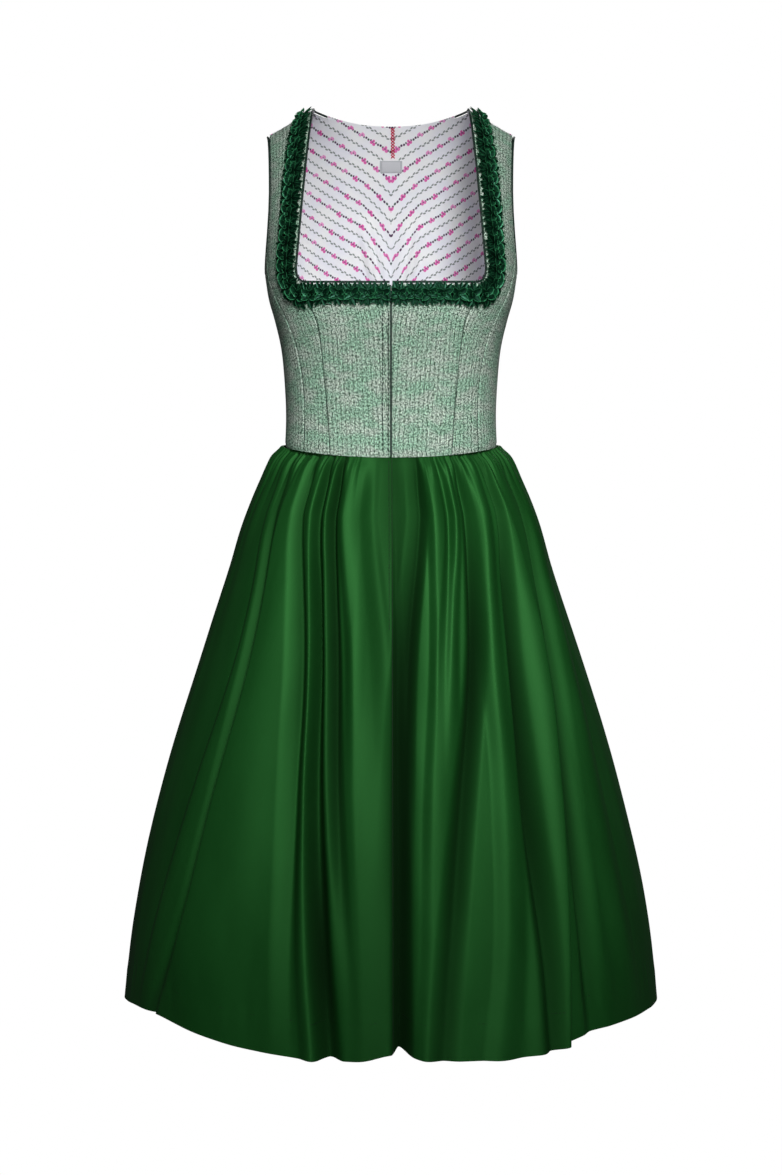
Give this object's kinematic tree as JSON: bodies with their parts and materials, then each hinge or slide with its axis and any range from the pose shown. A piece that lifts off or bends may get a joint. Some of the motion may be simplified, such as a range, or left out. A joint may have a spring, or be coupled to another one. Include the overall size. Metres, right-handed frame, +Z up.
{
  "type": "dirndl dress",
  "caption": "Sleeveless folk dress with a fitted tweed bodice, a ruched trim round a square neckline, a front zip and a full gathered satin skirt.",
  "frame": {"origin": "midway between the two straps at shoulder height, where the wearer's shoulders carry the dress", "axes": "+Z up, -Y towards the front, +X towards the wearer's left"},
  "size_m": [0.6299, 0.5375, 1.0513],
  "materials": {
    "tweed": "matt melange tweed",
    "satin": "satin",
    "bottle": "ruched taffeta",
    "piping": "corded piping",
    "print": "printed cotton",
    "zip": "woven tape and moulded teeth",
    "label": "woven, bare"
  },
  "bodies": {
    "root": {"armhole_piping_left": "piping", "armhole_piping_right": "piping", "bodice_centre_back_left": "tweed", "bodice_centre_back_right": "tweed", "bodice_centre_front_left": "tweed", "bodice_centre_front_right": "tweed", "bodice_side_back_left": "tweed", "bodice_side_back_right": "tweed", "bodice_side_front_left": "tweed", "bodice_side_front_right": "tweed", "bodice_side_left": "tweed", "bodice_side_right": "tweed", "label": "label", "lining_centre_back_left": "print", "lining_centre_back_right": "print", "lining_side_back_left": "print", "lining_side_back_right": "print", "neck_piping_left": "piping", "neck_piping_right": "piping", "ruche_left": "bottle", "ruche_right": "bottle", "skirt_back_left": "satin", "skirt_back_right": "satin", "skirt_front_left": "satin", "skirt_front_right": "satin", "zip_chain": "zip", "zip_slider": "zip", "zip_tape": "zip"}
  },
  "joints": []
}
